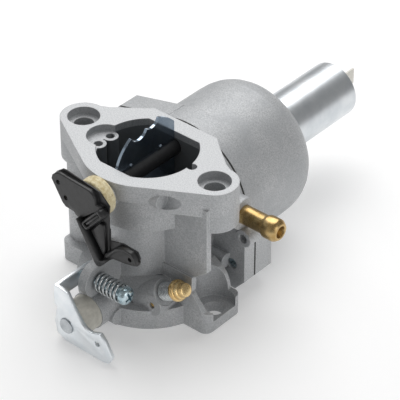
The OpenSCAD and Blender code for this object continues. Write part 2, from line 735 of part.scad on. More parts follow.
module throttle_lever() {
    y0 = -throttle_lever_y;
    y1 = y0 + throttle_lever_t;
    z = throttle_z;
    tab_z0 = speed_screw_z - 2.2;
    tab_z1 = speed_screw_z + 3.4;
    color("#C9D0D6") difference() {
        union() {
            plate_y([[tab_x - tab_t, tab_z0 - 2], [tab_x - tab_t, tab_z1], [tab_x + 1, tab_z1], [1, tab_z1 - 0.8],
                [4, z + 8.4], [6.8, z + 4.6], [8.6, z + 3.2], [11, z + 2.8], [15, z + 4.4], [17.2, z + 2],
                [20, z - 3], [18.6, z - 6], [16, z - 6.7], [-1, z - 6.5], [-4.4, z - 4.6], [-5.2, z], [-4, z + 6]], y0, y1);
            // tab that meets the idle speed screw
            translate([tab_x - tab_t, y0, tab_z0])
                cube([tab_t, throttle_lever_y - speed_screw_y + 3.4, tab_z1 - tab_z0]);
        }
        along_y(tenon_r, y0 - 1, y1 + 1, 0, z);
        along_y(1, y0 - 1, y1 + 1, 13.6, z - 0.4);
    }
}

// ---------- adjusting screws and plugs ----------

module idle_speed_screw() {
    color("#C6CDD4") difference() {
        union() {
            along_x(speed_screw_d / 2, tab_x + 0.02, speed_head_x + 0.5, -speed_screw_y, speed_screw_z);
            along_x(speed_head_r, speed_head_x, speed_head_x + 1.2, -speed_screw_y, speed_screw_z);
            along_x(speed_head_r, speed_head_x + 1.2 - eps, speed_head_x + 2.6, -speed_screw_y,
                speed_screw_z, speed_head_r - 1);
        }
        for (turn = [45, 135]) translate([speed_head_x + 1.4, -speed_screw_y, speed_screw_z]) rotate([turn, 0, 0])
            translate([0, -1.9, -0.4]) cube([2, 3.8, 0.8]);
    }
}

module idle_speed_spring() {
    color("#AEB6BC") difference() {
        along_x(speed_spring_r, lug_plate_x, speed_head_x, -speed_screw_y, speed_screw_z);
        along_x(speed_spring_r - 1, lug_plate_x - 1, speed_head_x + 1, -speed_screw_y, speed_screw_z);
    }
}

module idle_mixture_screw() {
    color("#D3A95C") mixture_place() {
        translate([0, 0, -7.6]) cylinder(h = 2, r1 = 0.4, r2 = mixture_screw_d / 2 - 0.6);
        translate([0, 0, -5.7]) cylinder(h = 5.7 + mixture_head, r = mixture_screw_d / 2 - 0.6);
        translate([0, 0, -4.6]) cylinder(h = 4, r = mixture_screw_d / 2);
        translate([0, 0, mixture_head]) cylinder(h = 1.6, r = 3.7);
        translate([0, 0, mixture_head + 1.6 - 2 * eps]) cylinder(h = 1.4, r1 = 3.2, r2 = 3);
        translate([0, 0, mixture_head + 3 - 3 * eps]) cylinder(h = 2, r1 = 2.5, r2 = 2.1);
    }
}

module idle_mixture_spring() {
    color("#AEB6BC") mixture_place() difference() {
        cylinder(h = mixture_head, r = 3.4);
        translate([0, 0, -1]) cylinder(h = mixture_head + 2, r = 2.4);
    }
}

module passage_plugs() {
    color("#C79C4B") along_y(1.1, plug_y + 0.3, plug_y + 1.6, plug_x, plug_z);
}

module welch_plug() {
    color("#B9BEC2") along_x(2.6, throttle_boss_r, throttle_boss_r + 0.8, -20, throttle_z - 2.6);
}

body();
bowl_gasket();
float_bowl();
bowl_screws();
solenoid_can();
solenoid_washer();
solenoid_plunger();
solenoid_spring();
solenoid_terminal();
main_nozzle();
main_jet();
float();
float_pin();
float_needle();
needle_seat();
pilot_jet();
inlet_tube();
choke_shaft();
choke_plate();
choke_seal();
throttle_shaft();
throttle_plate();
throttle_screws();
throttle_lever();
throttle_bush();
idle_speed_screw();
idle_speed_spring();
idle_mixture_screw();
idle_mixture_spring();
passage_plugs();
welch_plug();
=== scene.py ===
import json
import math

import bpy
from mathutils import Matrix, Vector


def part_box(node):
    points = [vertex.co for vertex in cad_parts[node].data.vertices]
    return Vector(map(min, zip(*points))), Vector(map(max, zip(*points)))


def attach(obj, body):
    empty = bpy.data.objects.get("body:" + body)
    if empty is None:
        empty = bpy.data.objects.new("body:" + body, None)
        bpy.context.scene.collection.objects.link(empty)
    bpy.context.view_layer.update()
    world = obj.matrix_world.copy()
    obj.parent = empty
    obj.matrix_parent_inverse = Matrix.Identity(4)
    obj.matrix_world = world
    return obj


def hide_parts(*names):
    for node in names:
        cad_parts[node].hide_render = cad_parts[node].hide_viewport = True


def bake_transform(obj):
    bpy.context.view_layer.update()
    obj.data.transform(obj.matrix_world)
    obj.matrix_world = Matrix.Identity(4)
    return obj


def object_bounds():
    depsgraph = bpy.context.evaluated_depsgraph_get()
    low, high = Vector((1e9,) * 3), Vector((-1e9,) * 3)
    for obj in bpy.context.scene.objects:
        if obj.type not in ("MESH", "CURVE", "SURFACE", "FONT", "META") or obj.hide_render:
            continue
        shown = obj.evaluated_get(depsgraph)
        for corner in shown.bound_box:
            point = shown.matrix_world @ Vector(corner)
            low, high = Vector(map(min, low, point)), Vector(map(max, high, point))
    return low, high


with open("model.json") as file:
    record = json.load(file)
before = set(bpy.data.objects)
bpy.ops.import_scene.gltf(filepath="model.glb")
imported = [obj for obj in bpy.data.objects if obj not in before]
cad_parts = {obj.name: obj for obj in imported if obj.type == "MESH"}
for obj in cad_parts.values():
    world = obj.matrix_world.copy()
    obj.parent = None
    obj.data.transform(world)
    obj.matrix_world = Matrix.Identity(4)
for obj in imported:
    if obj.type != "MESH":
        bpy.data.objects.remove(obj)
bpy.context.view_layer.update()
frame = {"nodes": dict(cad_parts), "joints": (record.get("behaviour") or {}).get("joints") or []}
mm = 0.001
print("frame loaded")


def deselectAll():
    if bpy.context.object and bpy.context.object.mode != "OBJECT":
        bpy.ops.object.mode_set(mode="OBJECT")
    bpy.ops.object.select_all(action="DESELECT")


def makeActive(piece):
    deselectAll()
    piece.select_set(True)
    bpy.context.view_layer.objects.active = piece


def addModifier(piece, kind, **settings):
    modifier = piece.modifiers.new(kind.title(), kind)
    for key, value in settings.items():
        setattr(modifier, key, value)
    makeActive(piece)
    bpy.ops.object.modifier_apply(modifier=modifier.name)


def roundEdges(piece, width, segments=2, angle=35):
    addModifier(piece, "BEVEL", width=width * mm, segments=segments, limit_method="ANGLE",
                angle_limit=math.radians(angle), harden_normals=False)


def smoothByAngle(piece, angle=35):
    makeActive(piece)
    bpy.ops.object.shade_smooth_by_angle(angle=math.radians(angle))


def placePiece(piece, matrix):
    piece.matrix_world = matrix @ piece.matrix_world
    makeActive(piece)
    bpy.ops.object.transform_apply(location=True, rotation=True, scale=True)


def cutAway(piece, tool):
    addModifier(piece, "BOOLEAN", operation="DIFFERENCE", object=tool, solver="EXACT")
    bpy.data.objects.remove(tool)


def joinPieces(pieces, name):
    deselectAll()
    for piece in pieces:
        piece.select_set(True)
    bpy.context.view_layer.objects.active = pieces[0]
    bpy.ops.object.join()
    pieces[0].name = pieces[0].data.name = name
    return pieces[0]


# a plane is merged to one point, and the outline is drawn from it by extruding
def drawOutline(name, points):
    deselectAll()
    bpy.ops.mesh.primitive_plane_add(size=mm)
    piece = bpy.context.active_object
    piece.name = piece.data.name = name
    bpy.ops.object.mode_set(mode="EDIT")
    bpy.ops.mesh.select_all(action="SELECT")
    bpy.ops.mesh.merge(type="CENTER")
    bpy.ops.transform.translate(value=Vector(points[0]) * mm)
    for here, there in zip(points, points[1:]):
        step = (Vector(there) - Vector(here)) * mm
        bpy.ops.mesh.extrude_region_move(TRANSFORM_OT_translate={"value": step})
    bpy.ops.mesh.select_all(action="SELECT")
    return piece


# turned part: outline of (radius, height) pairs in mm, spun round +Z
def turnOnLathe(name, outline, steps=64):
    piece = drawOutline(name, [(r, 0, z) for r, z in outline])
    bpy.ops.mesh.spin(steps=steps, angle=2 * math.pi, center=(0, 0, 0), axis=(0, 0, 1))
    bpy.ops.mesh.select_all(action="SELECT")
    bpy.ops.mesh.remove_doubles(threshold=1e-6)
    bpy.ops.mesh.normals_make_consistent(inside=False)
    bpy.ops.object.mode_set(mode="OBJECT")
    return piece


# flat part: outline of (x, y) pairs in mm, pulled up to the thickness
def cutPlate(name, outline, thickness):
    piece = drawOutline(name, [(x, y, 0) for x, y in outline])
    bpy.ops.mesh.edge_face_add()
    bpy.ops.mesh.extrude_region_move(TRANSFORM_OT_translate={"value": (0, 0, thickness * mm)})
    bpy.ops.mesh.select_all(action="SELECT")
    bpy.ops.mesh.normals_make_consistent(inside=False)
    bpy.ops.object.mode_set(mode="OBJECT")
    return piece


def addBlock(name, size, middle):
    deselectAll()
    bpy.ops.mesh.primitive_cube_add(size=1, location=Vector(middle) * mm, scale=Vector(size) * mm)
    piece = bpy.context.active_object
    piece.name = name
    bpy.ops.object.transform_apply(location=True, rotation=True, scale=True)
    return piece


def addDrill(radius, length):
    deselectAll()
    bpy.ops.mesh.primitive_cylinder_add(vertices=32, radius=radius * mm, depth=length * mm)
    return bpy.context.active_object


# coil of round wire round +Z, from height 0 to length
def windSpring(name, wire, outer, length, turns):
    deselectAll()
    middle = ((outer - wire) * mm, 0, wire * mm)
    bpy.ops.mesh.primitive_circle_add(vertices=12, radius=wire * mm, location=middle,
                                      rotation=(math.pi / 2, 0, 0))
    piece = bpy.context.active_object
    piece.name = piece.data.name = name
    bpy.ops.object.transform_apply(location=True, rotation=True, scale=True)
    steps = int(turns * 26)
    addModifier(piece, "SCREW", angle=2 * math.pi * turns, screw_offset=(length - 2 * wire) * mm,
                steps=steps, render_steps=steps, use_smooth_shade=True)
    bpy.ops.object.mode_set(mode="EDIT")
    bpy.ops.mesh.select_all(action="SELECT")
    bpy.ops.mesh.fill_holes(sides=0)
    bpy.ops.mesh.select_all(action="SELECT")
    bpy.ops.mesh.normals_make_consistent(inside=False)
    bpy.ops.object.mode_set(mode="OBJECT")
    return piece


# cross recess cut from the top at the given height
def cutCross(piece, height, cross):
    for turn in (0, math.pi / 2):
        tool = addBlock("crossTool", (2 * cross["reach"], cross["width"], 2 * cross["depth"]), (0, 0, height))
        tool.rotation_euler = (0, 0, turn)
        bpy.context.view_layer.update()
        cutAway(piece, tool)


def threadOutline(radius, pitch, depth, start, end):
    points = []
    height = start
    while height + pitch <= end:
        points += [(radius - depth, height), (radius, height + pitch / 2)]
        height += pitch
    return points + [(radius - depth, end)]


# a copy of a CAD shape with its edges rounded, for moulded and pressed parts
def softenNode(node, name, width):
    piece = bpy.data.objects.new(name, frame["nodes"][node].data.copy())
    bpy.context.scene.collection.objects.link(piece)
    piece.data.materials.clear()
    makeActive(piece)
    bpy.ops.object.mode_set(mode="EDIT")
    bpy.ops.mesh.select_all(action="SELECT")
    bpy.ops.mesh.remove_doubles(threshold=2e-6)
    bpy.ops.mesh.dissolve_limited(angle_limit=math.radians(0.6))
    bpy.ops.object.mode_set(mode="OBJECT")
    roundEdges(piece, width, 2, 30)
    return piece


# lathe parts stand on +Z, so these lay them along X or Y
def alongX(x, y, z):
    return Matrix.Translation(Vector((x, y, z))) @ Matrix.Rotation(math.pi / 2, 4, "Y")


def alongY(x, y, z):
    return Matrix.Translation(Vector((x, y, z))) @ Matrix.Rotation(-math.pi / 2, 4, "X")


# plates are drawn in XY and stood up, so that their y becomes z and their thickness runs along -Y
def standUp(x, y, z):
    return Matrix.Translation(Vector((x, y, z))) @ Matrix.Rotation(math.pi / 2, 4, "X")


def finishPiece(piece, body, material, node):
    piece.data.materials.clear()
    piece.data.materials.append(material)
    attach(piece, body)
    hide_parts(node)


# a spring stands on the casting; here it is taken off its body again, with its placement baked into its mesh
def bendSpring(spring):
    bpy.context.view_layer.update()
    spring.parent = None
    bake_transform(spring)


# a node's lowest corner, its middle, and its size in mm
def nodeBox(node):
    low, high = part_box(node)
    return low, (low + high) / 2, (high - low) / mm


def jointPosition(name):
    return Vector(next(j["pos_m"] for j in frame["joints"] if j["name"] == name))


def linear(hexColour):
    values = [int(hexColour[i:i + 2], 16) / 255 for i in (1, 3, 5)]
    return [v / 12.92 if v <= 0.04045 else ((v + 0.055) / 1.055) ** 2.4 for v in values] + [1]


# an input is a number, a hex colour or another node's output, which is linked
def addNode(tree, kind, inputs, output=0, **settings):
    node = tree.nodes.new("ShaderNode" + kind)
    for key, value in settings.items():
        setattr(node, key, value)
    for socket, value in inputs.items():
        if isinstance(value, bpy.types.NodeSocket):
            tree.links.new(value, node.inputs[socket])
        else:
            node.inputs[socket].default_value = linear(value) if isinstance(value, str) else value
    return node.outputs[output] if node.outputs else None


# an empty material with its tree and the piece's own coordinates in mm
def startMaterial(name):
    material = bpy.data.materials.new(name)
    material.use_nodes = True
    tree = material.node_tree
    tree.nodes.clear()
    where = addNode(tree, "TexCoord", {}, "Object")
    return material, tree, addNode(tree, "VectorMath", {0: where, "Scale": 1000}, operation="SCALE")


def finishMaterial(tree, **inputs):
    named = {socket.replace("_", " "): value for socket, value in inputs.items()}
    addNode(tree, "OutputMaterial", {"Surface": addNode(tree, "BsdfPrincipled", named)})


# soft patches between two colours; size is that of a patch in mm
def mottle(tree, place, size, deep, pale, detail=4, roughness=0.55, low=0.3, high=0.7):
    patches = addNode(tree, "TexNoise", {"Vector": place, "Scale": 1 / size, "Detail": detail,
                                         "Roughness": roughness})
    share = addNode(tree, "MapRange", {0: patches, 1: low, 2: high})
    return addNode(tree, "Mix", {0: share, 6: deep, 7: pale}, 2, data_type="RGBA")


# surface grain of the given depth in mm, on edges that catch light as if rounded
def grainNormal(tree, height, strength, depth, rounding=0):
    inputs = {"Height": height, "Strength": strength, "Distance": depth * mm}
    if rounding:
        inputs["Normal"] = addNode(tree, "Bevel", {"Radius": rounding * mm}, samples=4)
    return addNode(tree, "Bump", inputs)


# a finish with mottled colour and fine grain; lengths are in mm
def grainyFinish(name, look, **inputs):
    material, tree, place = startMaterial(name)
    grain = addNode(tree, "TexNoise", {"Vector": place, "Scale": 1 / look["grain"], "Detail": 2,
                                       "Roughness": 0.55})
    duller, shinier = look["rough"] + look["duller"], look["rough"] - look["shinier"]
    finishMaterial(tree, Base_Color=mottle(tree, place, look["patch"], look["deep"], look["pale"]),
                   Roughness=addNode(tree, "MapRange", {0: grain, 1: 0.3, 2: 0.7, 3: shinier, 4: duller}),
                   Normal=grainNormal(tree, grain, look["bump"], look["depth"], look["rounding"]), **inputs)
    return material


castLook = {
    # "inside" is the darker grey of the painted shade on the walls inside the bore
    "pale": "#CACBCC", "deep": "#B5B7B9", "inside": "#7E8082", "face": "#CDCECF", "speck": "#A6A8AA",
    # "edge" is the lighter grey of the outer edges: partly wear, partly a painted highlight
    "edge": "#E6E7E8", "grain": 0.5, "patch": 9, "rough": 0.58, "metallic": 0.45,
    "boreRadius": 17.4, "boreTop": 53.42, "airFace": 56,
}


# die-cast aluminium: a soft satin grey skin with a fine pebbled grain; milled faces are smoother and
# paler, and the walls inside the bore are painted a darker grey as painted shade. The real grain is finer than
# the 0.5 mm drawn here, which is as coarse as it needs to show
def castAluminium(name, withBore):
    look = castLook
    material, tree, place = startMaterial(name)
    skin = mottle(tree, place, look["patch"], look["deep"], look["pale"])
    grain = addNode(tree, "TexNoise", {"Vector": place, "Scale": 1 / look["grain"], "Detail": 3,
                                       "Roughness": 0.55})
    grainy = addNode(tree, "MapRange", {0: grain, 1: 0.25, 2: 0.75, 3: 0.55, 4: 1})
    finer = addNode(tree, "TexNoise", {"Vector": place, "Scale": 1 / (look["grain"] * 0.8), "Detail": 2,
                                       "Roughness": 0.55})
    specks = addNode(tree, "MapRange", {0: finer, 1: 0.35, 2: 0.62})
    skin = addNode(tree, "Mix", {0: specks, 6: look["speck"], 7: skin}, 2, data_type="RGBA")
    if withBore:
        facing = addNode(tree, "TexCoord", {}, "Normal")
        height = addNode(tree, "SeparateXYZ", {0: place}, "Z")
        flat = addNode(tree, "VectorMath", {0: place, 1: (1, 1, 0)}, operation="MULTIPLY")
        radius = addNode(tree, "VectorMath", {0: flat}, "Value", operation="LENGTH")
        # walls whose normals point at the bore's axis
        inward = addNode(tree, "VectorMath", {0: facing, 1: flat}, "Value", operation="DOT_PRODUCT")
        near = addNode(tree, "MapRange", {0: radius, 1: look["boreRadius"], 2: look["boreRadius"] - 0.4})
        below = addNode(tree, "MapRange", {0: height, 1: look["boreTop"], 2: look["boreTop"] - 0.12})
        paintedBoreShade = addNode(tree, "Math", {0: near, 1: below}, operation="MULTIPLY")
        turned = addNode(tree, "MapRange", {0: inward, 1: 0, 2: -1})
        paintedBoreShade = addNode(tree, "Math", {0: paintedBoreShade, 1: turned}, operation="MULTIPLY")
        # walls below the bore's top that face its axis get the darker grey: painted shade in the deep bore
        skin = addNode(tree, "Mix", {0: paintedBoreShade, 6: skin, 7: look["inside"]}, 2, data_type="RGBA")
        top = addNode(tree, "MapRange", {0: height, 1: look["airFace"] - 0.07, 2: look["airFace"] - 0.03})
        bottom = addNode(tree, "MapRange", {0: height, 1: 0.06, 2: 0.02})
        milled = addNode(tree, "Math", {0: top, 1: bottom}, operation="ADD")
        milledFace = addNode(tree, "Mix", {0: specks, 6: look["deep"], 7: look["face"]}, 2, data_type="RGBA")
        skin = addNode(tree, "Mix", {0: milled, 6: skin, 7: milledFace}, 2, data_type="RGBA")
        calmer = addNode(tree, "MapRange", {0: milled, 4: 0.25, 3: 1})
        grainy = addNode(tree, "Math", {0: grainy, 1: calmer}, operation="MULTIPLY")
    # the outer edges are painted a little brighter: partly wear from handling and tumbling, partly a painted
    # highlight where the rounded edges catch the light
    rounded = addNode(tree, "Bevel", {"Radius": 0.5 * mm}, samples=4)
    trueNormal = addNode(tree, "NewGeometry", {}, "Normal")
    bend = addNode(tree, "VectorMath", {0: rounded, 1: trueNormal}, "Value", operation="DOT_PRODUCT")
    wornAndHighlitEdges = addNode(tree, "MapRange", {0: bend, 1: 0.99, 2: 0.8, 4: 0.6})
    height = addNode(tree, "Math", {0: grain, 1: grainy}, operation="MULTIPLY")
    finishMaterial(tree, Base_Color=addNode(tree, "Mix", {0: wornAndHighlitEdges, 6: skin, 7: look["edge"]}, 2,
                                            data_type="RGBA"),
                   Metallic=look["metallic"],
                   Roughness=addNode(tree, "MapRange", {0: grain, 1: 0.3, 2: 0.7, 3: look["rough"] - 0.06,
                                                        4: look["rough"] + 0.06}),
                   Normal=grainNormal(tree, height, 0.3, 0.07, 0.45))
    return material


# metals, each as it is plated, drawn or turned. Their real tool and plating marks are too fine to show, so
# the grain is drawn coarser than that
metalLooks = {
    # zinc plate: bright, with a cold blue-green cast
    "zincPlate": {"pale": "#D5E4EA", "deep": "#9DB6BF", "patch": 2.5, "grain": 0.3, "rough": 0.26,
                  "duller": 0.06, "shinier": 0.06, "bump": 0.12, "depth": 0.02, "rounding": 0.15},
    # bright zinc on pressed sheet, nearly white and smoother
    "whiteZincSheet": {"pale": "#F2F5F7", "deep": "#E2E8EC", "patch": 5, "grain": 0.4, "rough": 0.33,
                       "duller": 0.05, "shinier": 0.05, "bump": 0.1, "depth": 0.02, "rounding": 0.2},
    # drawn spring wire: grey and glossy, with fine draw marks
    "springWire": {"pale": "#D6D9DA", "deep": "#A9ADAF", "patch": 1.2, "grain": 0.15, "rough": 0.22,
                   "duller": 0.05, "shinier": 0.05, "bump": 0.1, "depth": 0.01, "rounding": 0},
    # turned brass: a muted yellow with tiny tool marks and a browner bloom
    "turnedBrass": {"pale": "#CDB483", "deep": "#AC8C57", "patch": 3, "grain": 0.25, "rough": 0.3,
                    "duller": 0.07, "shinier": 0.07, "bump": 0.15, "depth": 0.02, "rounding": 0.12},
    # paler brass of the mixture screw and the throttle plate
    "paleBrass": {"pale": "#E6CE9C", "deep": "#D3AE72", "patch": 4, "grain": 0.5, "rough": 0.26,
                  "duller": 0.04, "shinier": 0.04, "bump": 0.05, "depth": 0.01, "rounding": 0.1},
    # ground and turned steel of shafts and pins: an even cool grey
    "machinedSteel": {"pale": "#C9CDD0", "deep": "#AEB3B7", "patch": 3, "grain": 0.3, "rough": 0.3,
                      "duller": 0.05, "shinier": 0.05, "bump": 0.12, "depth": 0.02, "rounding": 0.1},
    # mirror zinc on thin steel strip: a dark blue reflection, almost like glass
    "mirrorZincStrip": {"pale": "#B9C6D2", "deep": "#8FA0B2", "patch": 9, "grain": 0.6, "rough": 0.14,
                        "duller": 0.04, "shinier": 0.04, "bump": 0.06, "depth": 0.02, "rounding": 0.12},
    # satin plate on the drawn solenoid can: pale, with a broad soft shine
    "satinPlateCan": {"pale": "#E3E6E8", "deep": "#CDD2D6", "patch": 8, "grain": 0.5, "rough": 0.34,
                      "duller": 0.05, "shinier": 0.05, "bump": 0.1, "depth": 0.02, "rounding": 0.2},
}

# moulded plastics and gasket paper: soft gloss with the fine texture of the mould, drawn coarser than the
# real one so that it shows
plasticLooks = {
    "blackNylon": {"pale": "#2B2B2C", "deep": "#1F1F20", "grain": 0.35, "rough": 0.36, "depth": 0.04},
    "paleNylon": {"pale": "#E9E7E0", "deep": "#D9D6CC", "grain": 0.5, "rough": 0.4, "depth": 0.03},
    "bushNylon": {"pale": "#D3D0C6", "deep": "#BDBAB0", "grain": 0.6, "rough": 0.5, "depth": 0.05},
    "floatPlastic": {"pale": "#2B2C2D", "deep": "#202122", "grain": 0.5, "rough": 0.45, "depth": 0.03},
    "gasketPaper": {"pale": "#3B3B39", "deep": "#2A2A29", "grain": 0.2, "rough": 0.75, "depth": 0.05,
                    "rounding": 0.1},
}
plasticBase = {"patch": 1.6, "duller": 0.08, "shinier": 0.06, "bump": 0.3, "rounding": 0.25}


# open-cell foam: cream, mottled with tan, full of small pits drawn about 0.5 mm apart, each painted a darker
# tan as painted shade in its hollow
def openCellFoam():
    material, tree, place = startMaterial("openCellFoam")
    cream = mottle(tree, place, 1.5, "#C9B685", "#F0E6C4", 5, 0.65, 0.35, 0.65)
    pits = addNode(tree, "TexVoronoi", {"Vector": place, "Scale": 2.2}, "Distance")
    share = addNode(tree, "MapRange", {0: pits, 1: 0, 2: 0.22})
    crumbs = addNode(tree, "TexNoise", {"Vector": place, "Scale": 1 / 0.6, "Detail": 3, "Roughness": 0.55})
    height = addNode(tree, "Math", {0: pits, 1: crumbs}, operation="ADD")
    # the pits get the darker tan: painted shade in the hollows of the cells
    finishMaterial(tree, Base_Color=addNode(tree, "Mix", {0: share, 6: "#A98F5C", 7: cream}, 2,
                                            data_type="RGBA"),
                   Roughness=0.9, Sheen_Weight=0.25, Normal=grainNormal(tree, height, 0.6, 0.25))
    return material


finish = {name: grainyFinish(name, look, Metallic=1) for name, look in metalLooks.items()}
finish.update({name: grainyFinish(name, plasticBase | look, IOR=1.5) for name, look in plasticLooks.items()})
finish["castBody"] = castAluminium("castAluminiumBody", True)
finish["castBowl"] = castAluminium("castAluminiumBowl", False)
finish["foam"] = openCellFoam()
print("materials made")

speedScrew = {
    "headHeight": 2.9, "shankRadius": 1.95, "pitch": 0.7, "threadDepth": 0.32, "crossTurn": 22,
    "cross": {"reach": 1.9, "width": 0.85, "depth": 1.5},
}
speedLow, speedMiddle, size = nodeBox("idle_speed_screw")
length, headRadius, core = size.x, size.z / 2, speedScrew["shankRadius"] - 0.3
headStart = length - speedScrew["headHeight"]
outline = [(0, 0), (1.1, 0), (core, 0.7)]
outline += threadOutline(speedScrew["shankRadius"], speedScrew["pitch"], speedScrew["threadDepth"], 1.0,
                         headStart - 0.3)
outline += [(core, headStart), (headRadius - 0.3, headStart), (headRadius, headStart + 0.3),
            (headRadius, headStart + 1.2), (headRadius - 0.25, headStart + 1.9), (2.5, headStart + 2.45),
            (1.6, headStart + 2.8), (0, length)]
screw = turnOnLathe("idleSpeedScrew", outline)
cutCross(screw, length, speedScrew["cross"])
placePiece(screw, Matrix.Rotation(math.radians(speedScrew["crossTurn"]), 4, "Z"))
placePiece(screw, alongX(speedLow.x, speedMiddle.y, speedMiddle.z))
smoothByAngle(screw, 40)
finishPiece(screw, "speed_screw", finish["zincPlate"], "idle_speed_screw")

speedSpring = {"wire": 0.48, "turns": 6.4}
low, middle, size = nodeBox("idle_speed_spring")
spring = windSpring("idleSpeedSpring", speedSpring["wire"], size.z / 2, size.x, speedSpring["turns"])
placePiece(spring, alongX(low.x, speedMiddle.y, speedMiddle.z))
finishPiece(spring, "speed_feed", finish["springWire"], "idle_speed_spring")
bendSpring(spring)

mixtureJoint = next(j for j in frame["joints"] if j["name"] == "mixture_screw_turn")
mixtureBase = Vector(mixtureJoint["pos_m"])
mixtureAxis = -Vector(mixtureJoint["axis"]).normalized()
mixturePlace = Matrix.Translation(mixtureBase) @ mixtureAxis.to_track_quat("Z", "Y").to_matrix().to_4x4()


# distance of a node's ends along the mixture screw's axis, in mm
def alongMixture(node):
    reach = [(v.co - mixtureBase).dot(mixtureAxis) / mm for v in frame["nodes"][node].data.vertices]
    return min(reach), max(reach)


mixtureScrew = {"threadRadius": 2.45, "pitch": 0.7, "threadDepth": 0.3, "coreRadius": 1.9, "flangeRadius": 3.7}
tip, end = alongMixture("idle_mixture_screw")
springFoot, shoulder = alongMixture("idle_mixture_spring")
core, flange = mixtureScrew["coreRadius"], mixtureScrew["flangeRadius"]
outline = [(0, tip), (0.35, tip + 0.1), (core, tip + 2), (core, tip + 3)]
outline += threadOutline(mixtureScrew["threadRadius"], mixtureScrew["pitch"], mixtureScrew["threadDepth"],
                         tip + 3, -0.6)
outline += [(core, -0.4), (core, shoulder), (flange - 0.3, shoulder), (flange, shoulder + 0.25),
            (flange, shoulder + 1.1), (3.45, shoulder + 1.4), (3.1, shoulder + 1.5), (3.1, shoulder + 2.2),
            (3.0, shoulder + 2.6), (2.7, shoulder + 2.8), (2.45, shoulder + 2.9), (2.4, end - 0.5),
            (2.25, end - 0.15), (1.9, end), (0, end)]
screw = turnOnLathe("idleMixtureScrew", outline)
placePiece(screw, mixturePlace)
smoothByAngle(screw, 40)
finishPiece(screw, "mixture_screw", finish["paleBrass"], "idle_mixture_screw")

mixtureSpring = {"wire": 0.36, "outer": 3.4, "turns": 7.2}
spring = windSpring("idleMixtureSpring", mixtureSpring["wire"], mixtureSpring["outer"], shoulder - springFoot,
                    mixtureSpring["turns"])
placePiece(spring, mixturePlace)
finishPiece(spring, "mixture_feed", finish["springWire"], "idle_mixture_spring")
bendSpring(spring)
print("adjusting screws made")

inletTube = {"barbHeight": 0.7, "bore": 2.0, "pressedIn": 7.95, "pressFit": 0.2}
low, middle, size = nodeBox("inlet_tube")
length, barb, bore = size.x, size.z / 2, inletTube["bore"]
tube = barb - inletTube["barbHeight"]
shank = tube - inletTube["pressFit"]
outline = [(bore, 0), (shank, 0), (shank, inletTube["pressedIn"]), (tube, inletTube["pressedIn"] + 0.05),
           (tube, length - 6.7), (tube + 0.12, length - 6.3), (barb - 0.12, length - 5.5), (barb, length - 5.1),
           (barb, length - 1.6), (barb - 0.25, length - 1.1), (barb - 0.95, length - 0.15),
           (barb - 1.25, length), (bore + 0.2, length), (bore, length - 0.25), (bore, 0)]
inlet = turnOnLathe("fuelInletTube", outline, 72)
placePiece(inlet, alongX(low.x, middle.y, middle.z))
smoothByAngle(inlet, 40)
finishPiece(inlet, "casting", finish["turnedBrass"], "inlet_tube")

bowlScrew = {"shankRadius": 2.0, "headRadius": 3.6, "headHeight": 2.4,
             "cross": {"reach": 1.8, "width": 0.8, "depth": 1.4}}
low, middle, size = nodeBox("bowl_screws")
length, shank, head = size.y, bowlScrew["shankRadius"], bowlScrew["headRadius"]
start = length - bowlScrew["headHeight"]
outline = [(0, 0), (shank - 0.5, 0), (shank, 0.5), (shank, start), (head - 0.2, start), (head, start + 0.25),
           (head, start + 1), (head - 0.4, start + 1.7), (2.2, start + 2.25), (0, length)]
screws = []
for side in (-1, 1):
    spots = [v.co for v in frame["nodes"]["bowl_screws"].data.vertices if v.co.x * side > 0]
    x = (min(s.x for s in spots) + max(s.x for s in spots)) / 2
    z = (min(s.z for s in spots) + max(s.z for s in spots)) / 2
    screws.append(turnOnLathe("bowlScrew", outline, 48))
    cutCross(screws[-1], length, bowlScrew["cross"])
    placePiece(screws[-1], alongY(x, low.y, z))
bowlScrews = joinPieces(screws, "bowlScrews")
smoothByAngle(bowlScrews, 40)
finishPiece(bowlScrews, "casting", finish["zincPlate"], "bowl_screws")

# foam ring on the choke shaft, its faces crumbled by a shallow cloud pattern
chokeSeal = {"hole": 3.1, "crumbSize": 0.0012, "crumbDepth": 0.22}
low, middle, size = nodeBox("choke_seal")
hole, outer, length = chokeSeal["hole"], size.x / 2, size.y
outline = [(hole, 0.3), (hole + 0.3, 0), (outer - 0.7, 0), (outer - 0.2, 0.3), (outer, 0.9),
           (outer, length - 0.9), (outer - 0.2, length - 0.3), (outer - 0.7, length), (hole + 0.3, length),
           (hole, length - 0.3), (hole, 0.3)]
seal = turnOnLathe("chokeShaftSeal", outline, 80)
placePiece(seal, alongY(middle.x, low.y, middle.z))
addModifier(seal, "SUBSURF", subdivision_type="SIMPLE", levels=2, render_levels=2)
crumbs = bpy.data.textures.new("foamPits", "CLOUDS")
crumbs.noise_scale = chokeSeal["crumbSize"]
addModifier(seal, "DISPLACE", texture=crumbs, strength=chokeSeal["crumbDepth"] * mm, mid_level=0.6,
            texture_coords="LOCAL")
smoothByAngle(seal, 60)
finishPiece(seal, "casting", finish["foam"], "choke_seal")
print("inlet, bowl screws and seal made")

